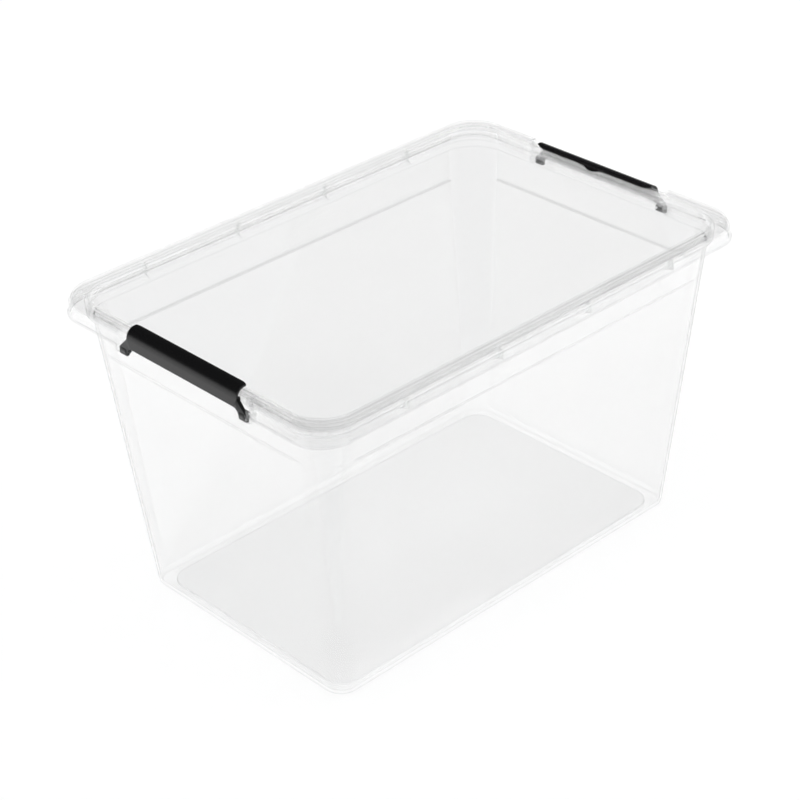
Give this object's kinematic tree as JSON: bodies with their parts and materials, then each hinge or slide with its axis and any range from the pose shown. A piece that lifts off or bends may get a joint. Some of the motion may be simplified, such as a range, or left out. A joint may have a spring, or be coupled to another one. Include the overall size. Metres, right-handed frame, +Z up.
{
  "type": "storage box with lid",
  "caption": "Clear tapered storage box with a flanged rim, a lift-off lid with a sunk panel, and hinged end latches that arch over the lid's border to hold it down.",
  "frame": {"origin": "middle of the footprint, on the floor", "axes": "+X along the long side towards the right latch, +Y across the box, +Z up"},
  "size_m": [0.578, 0.388, 0.3406],
  "materials": {
    "tub_clear": "clear, smooth",
    "lid_clear": "clear, smooth",
    "latch_black": "fine matt texture"
  },
  "bodies": {
    "tub": {"tub": "tub_clear"},
    "lid": {"lid": "lid_clear"},
    "left_latch": {"left_latch": "latch_black"},
    "right_latch": {"right_latch": "latch_black"}
  },
  "joints": [
    {"name": "lid_lift", "type": "slide", "parent": "tub", "child": "lid", "axis": [0, 0, 1], "range_m": [0, 0.15]},
    {"name": "left_latch_hinge", "type": "hinge", "parent": "tub", "child": "left_latch", "pos_m": [-0.2825, 0, 0.3155], "axis": [0, -1, 0], "range_deg": [0, 200]},
    {"name": "right_latch_hinge", "type": "hinge", "parent": "tub", "child": "right_latch", "pos_m": [0.2825, 0, 0.3155], "axis": [0, 1, 0], "range_deg": [0, 200]}
  ]
}
